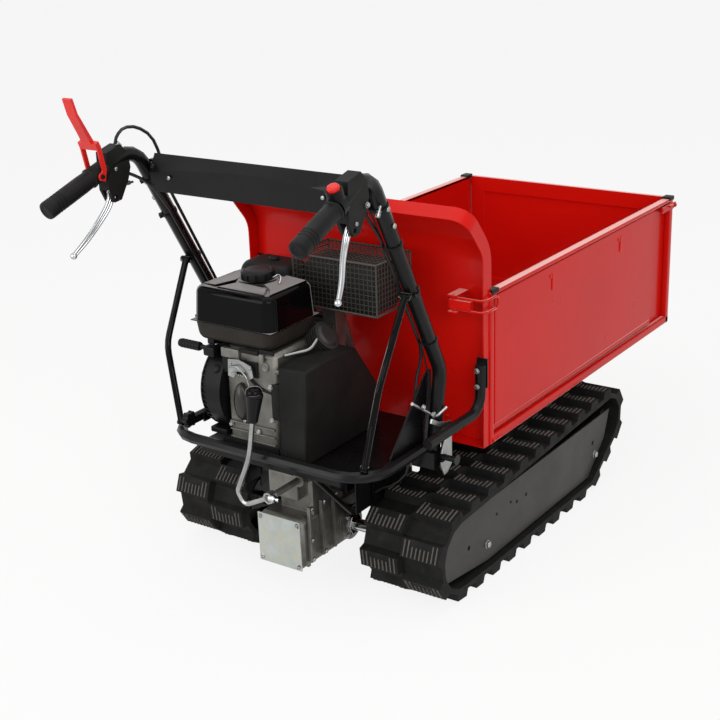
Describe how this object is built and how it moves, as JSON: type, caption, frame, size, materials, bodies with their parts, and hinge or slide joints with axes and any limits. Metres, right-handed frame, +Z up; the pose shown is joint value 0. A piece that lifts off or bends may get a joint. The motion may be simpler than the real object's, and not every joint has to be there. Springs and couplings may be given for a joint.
{
  "type": "tracked power carrier",
  "caption": "Walk-behind tracked mini dumper with a tipping drop-side load box, petrol engine, belt drive, gearbox, rubber tracks and handlebar controls.",
  "frame": {"origin": "on the ground under the middle of the machine, between the tracks", "axes": "+Z up, +Y forwards along the travel towards the load box's front panel, +X to the right of an operator who walks behind"},
  "size_m": [0.658, 1.5064, 0.9923],
  "materials": {
    "gloss_red": "gloss red powder coat on pressed sheet",
    "red_plastic": "glossy red moulded plastic",
    "black_paint": "satin black powder coat",
    "gloss_black": "gloss black stove enamel",
    "muffler_black": "matt heat-resistant black",
    "black_plastic": "matt black moulded plastic",
    "grip_rubber": "matt black ribbed rubber",
    "track_rubber": "matt black track rubber",
    "cable_black": "black cable sheath",
    "cover_paint": "dark grey textured paint",
    "cast_iron": "dark cast iron",
    "aluminium": "cast aluminium",
    "chrome": "polished plating",
    "zinc": "pale yellow passivated zinc on steel"
  },
  "bodies": {
    "chassis": {"air_filter_cover": "black_plastic", "belt_cover": "black_paint", "chassis_frame": "black_paint", "control_panel": "black_paint", "deck_guard": "black_paint", "drive_cable": "cable_black", "engine_block": "aluminium", "engine_deck": "black_paint", "fuel_tank": "gloss_black", "gearbox": "aluminium", "gearbox_cover": "zinc", "grip_left": "grip_rubber", "grip_right": "grip_rubber", "handlebar_left": "black_paint", "handlebar_right": "black_paint", "left_steering_cable": "cable_black", "lever_bracket_left": "black_plastic", "lever_bracket_right": "black_plastic", "muffler": "muffler_black", "muffler_guard": "black_paint", "recoil_housing": "black_paint", "right_steering_cable": "cable_black", "stop_switch_body": "black_plastic", "strut_left": "black_paint", "strut_right": "black_paint", "track_belt_left": "track_rubber", "track_belt_right": "track_rubber", "track_cover_left": "cover_paint", "track_cover_right": "cover_paint"},
    "drive_wheel_left": {"drive_sprocket_left": "cast_iron", "drive_axle_left": "zinc"},
    "front_idler_left": {"front_idler_left": "cast_iron"},
    "track_roller_left_1": {"track_roller_left_1": "cast_iron"},
    "track_roller_left_2": {"track_roller_left_2": "cast_iron"},
    "track_roller_left_3": {"track_roller_left_3": "cast_iron"},
    "drive_wheel_right": {"drive_sprocket_right": "cast_iron", "drive_axle_right": "zinc"},
    "front_idler_right": {"front_idler_right": "cast_iron"},
    "track_roller_right_1": {"track_roller_right_1": "cast_iron"},
    "track_roller_right_2": {"track_roller_right_2": "cast_iron"},
    "track_roller_right_3": {"track_roller_right_3": "cast_iron"},
    "load_box": {"load_box_body": "gloss_red", "tip_handle": "black_paint"},
    "side_panel_left": {"side_panel_left": "gloss_red"},
    "side_panel_right": {"side_panel_right": "gloss_red"},
    "front_panel": {"front_panel": "gloss_red"},
    "front_latch_left": {"front_latch_left": "red_plastic"},
    "headboard_latch_left": {"headboard_latch_left": "red_plastic"},
    "front_latch_right": {"front_latch_right": "red_plastic"},
    "headboard_latch_right": {"headboard_latch_right": "red_plastic"},
    "tip_latch": {"tip_latch": "zinc"},
    "gear_lever": {"gear_lever": "zinc", "gear_knob": "black_plastic"},
    "steering_lever_left": {"steering_lever_left": "chrome"},
    "steering_lever_right": {"steering_lever_right": "chrome"},
    "drive_lever": {"drive_lever": "red_plastic"},
    "stop_button": {"stop_switch_button": "red_plastic"},
    "recoil_grip": {"recoil_grip": "black_plastic"},
    "fuel_cap": {"fuel_cap": "black_plastic"},
    "star_knob": {"star_knob": "black_plastic"}
  },
  "joints": [
    {"name": "drive_wheel_left_turn", "type": "hinge", "parent": "chassis", "child": "drive_wheel_left", "pos_m": [-0.239, -0.332, 0.1], "axis": [1, 0, 0], "continuous": true},
    {"name": "front_idler_left_turn", "type": "hinge", "parent": "chassis", "child": "front_idler_left", "pos_m": [-0.239, 0.324, 0.147], "axis": [1, 0, 0], "continuous": true},
    {"name": "track_roller_left_1_turn", "type": "hinge", "parent": "chassis", "child": "track_roller_left_1", "pos_m": [-0.239, -0.215, 0.048], "axis": [1, 0, 0], "continuous": true},
    {"name": "track_roller_left_2_turn", "type": "hinge", "parent": "chassis", "child": "track_roller_left_2", "pos_m": [-0.239, 0.01, 0.048], "axis": [1, 0, 0], "continuous": true},
    {"name": "track_roller_left_3_turn", "type": "hinge", "parent": "chassis", "child": "track_roller_left_3", "pos_m": [-0.239, 0.235, 0.048], "axis": [1, 0, 0], "continuous": true},
    {"name": "drive_wheel_right_turn", "type": "hinge", "parent": "chassis", "child": "drive_wheel_right", "pos_m": [0.239, -0.332, 0.1], "axis": [1, 0, 0], "continuous": true},
    {"name": "front_idler_right_turn", "type": "hinge", "parent": "chassis", "child": "front_idler_right", "pos_m": [0.239, 0.324, 0.147], "axis": [1, 0, 0], "continuous": true},
    {"name": "track_roller_right_1_turn", "type": "hinge", "parent": "chassis", "child": "track_roller_right_1", "pos_m": [0.239, -0.215, 0.048], "axis": [1, 0, 0], "continuous": true},
    {"name": "track_roller_right_2_turn", "type": "hinge", "parent": "chassis", "child": "track_roller_right_2", "pos_m": [0.239, 0.01, 0.048], "axis": [1, 0, 0], "continuous": true},
    {"name": "track_roller_right_3_turn", "type": "hinge", "parent": "chassis", "child": "track_roller_right_3", "pos_m": [0.239, 0.235, 0.048], "axis": [1, 0, 0], "continuous": true},
    {"name": "load_box_tip", "type": "hinge", "parent": "chassis", "child": "load_box", "pos_m": [0, 0.395, 0.225], "axis": [-1, 0, 0], "range_deg": [0, 44.98]},
    {"name": "side_panel_left_drop", "type": "hinge", "parent": "load_box", "child": "side_panel_left", "pos_m": [-0.281, 0, 0.263], "axis": [0, -1, 0], "range_deg": [0, 85.94]},
    {"name": "side_panel_right_drop", "type": "hinge", "parent": "load_box", "child": "side_panel_right", "pos_m": [0.281, 0, 0.263], "axis": [0, 1, 0], "range_deg": [0, 85.94]},
    {"name": "front_panel_drop", "type": "hinge", "parent": "load_box", "child": "front_panel", "pos_m": [0, 0.735, 0.263], "axis": [-1, 0, 0], "range_deg": [0, 90]},
    {"name": "front_latch_left_lift", "type": "hinge", "parent": "side_panel_left", "child": "front_latch_left", "pos_m": [-0.2883, 0.676, 0.556], "axis": [1, 0, 0], "range_deg": [0, 90]},
    {"name": "headboard_latch_left_swing", "type": "hinge", "parent": "load_box", "child": "headboard_latch_left", "pos_m": [-0.228, -0.193, 0.556], "axis": [0, 0, 1], "range_deg": [0, 91.67]},
    {"name": "front_latch_right_lift", "type": "hinge", "parent": "side_panel_right", "child": "front_latch_right", "pos_m": [0.2883, 0.676, 0.556], "axis": [1, 0, 0], "range_deg": [0, 90]},
    {"name": "headboard_latch_right_swing", "type": "hinge", "parent": "load_box", "child": "headboard_latch_right", "pos_m": [0.228, -0.193, 0.556], "axis": [0, 0, -1], "range_deg": [0, 91.67]},
    {"name": "tip_latch_release", "type": "hinge", "parent": "load_box", "child": "tip_latch", "pos_m": [0.2712, -0.294, 0.345], "axis": [1, 0, 0], "range_deg": [0, 28.65], "stiffness_Nm_per_rad": 0.6, "springref_deg": -17.19},
    {"name": "gear_lever_shift", "type": "hinge", "parent": "chassis", "child": "gear_lever", "pos_m": [0.042, -0.56, 0.246], "axis": [0, 1, 0], "range_deg": [-14.32, 14.32]},
    {"name": "steering_lever_left_pull", "type": "hinge", "parent": "chassis", "child": "steering_lever_left", "pos_m": [-0.2691, -0.592, 0.7995], "axis": [-1, 0, 0], "range_deg": [0, 20.05], "stiffness_Nm_per_rad": 2, "springref_deg": -17.19},
    {"name": "steering_lever_right_pull", "type": "hinge", "parent": "chassis", "child": "steering_lever_right", "pos_m": [0.2691, -0.592, 0.7995], "axis": [-1, 0, 0], "range_deg": [0, 20.05], "stiffness_Nm_per_rad": 2, "springref_deg": -17.19},
    {"name": "drive_lever_press", "type": "hinge", "parent": "chassis", "child": "drive_lever", "pos_m": [-0.272, -0.628, 0.8447], "axis": [1, 0, 0], "range_deg": [0, 74.48], "stiffness_Nm_per_rad": 0.6, "springref_deg": -22.92},
    {"name": "stop_button_push", "type": "slide", "parent": "chassis", "child": "stop_button", "axis": [0, 0.3431, -0.9393], "range_m": [0, 0.003], "stiffness_N_per_m": 800, "springref_m": -0.001},
    {"name": "recoil_pull", "type": "slide", "parent": "chassis", "child": "recoil_grip", "axis": [0, -1, 0], "range_m": [0, 0.5], "stiffness_N_per_m": 60, "springref_m": -0.15},
    {"name": "fuel_cap_turn", "type": "hinge", "parent": "chassis", "child": "fuel_cap", "pos_m": [-0.078, -0.412, 0.6323], "axis": [0, 0, 1], "range_deg": [0, 90]},
    {"name": "star_knob_turn", "type": "hinge", "parent": "chassis", "child": "star_knob", "pos_m": [-0.207, -0.5039, 0.3353], "axis": [1, 0, 0], "range_deg": [0, 360]}
  ],
  "couplings": [
    {"joint": "front_idler_left_turn", "follows": "drive_wheel_left_turn", "ratio": 1.3462},
    {"joint": "track_roller_left_1_turn", "follows": "drive_wheel_left_turn", "ratio": 3.1818},
    {"joint": "track_roller_left_2_turn", "follows": "drive_wheel_left_turn", "ratio": 3.1818},
    {"joint": "track_roller_left_3_turn", "follows": "drive_wheel_left_turn", "ratio": 3.1818},
    {"joint": "front_idler_right_turn", "follows": "drive_wheel_right_turn", "ratio": 1.3462},
    {"joint": "track_roller_right_1_turn", "follows": "drive_wheel_right_turn", "ratio": 3.1818},
    {"joint": "track_roller_right_2_turn", "follows": "drive_wheel_right_turn", "ratio": 3.1818},
    {"joint": "track_roller_right_3_turn", "follows": "drive_wheel_right_turn", "ratio": 3.1818}
  ]
}
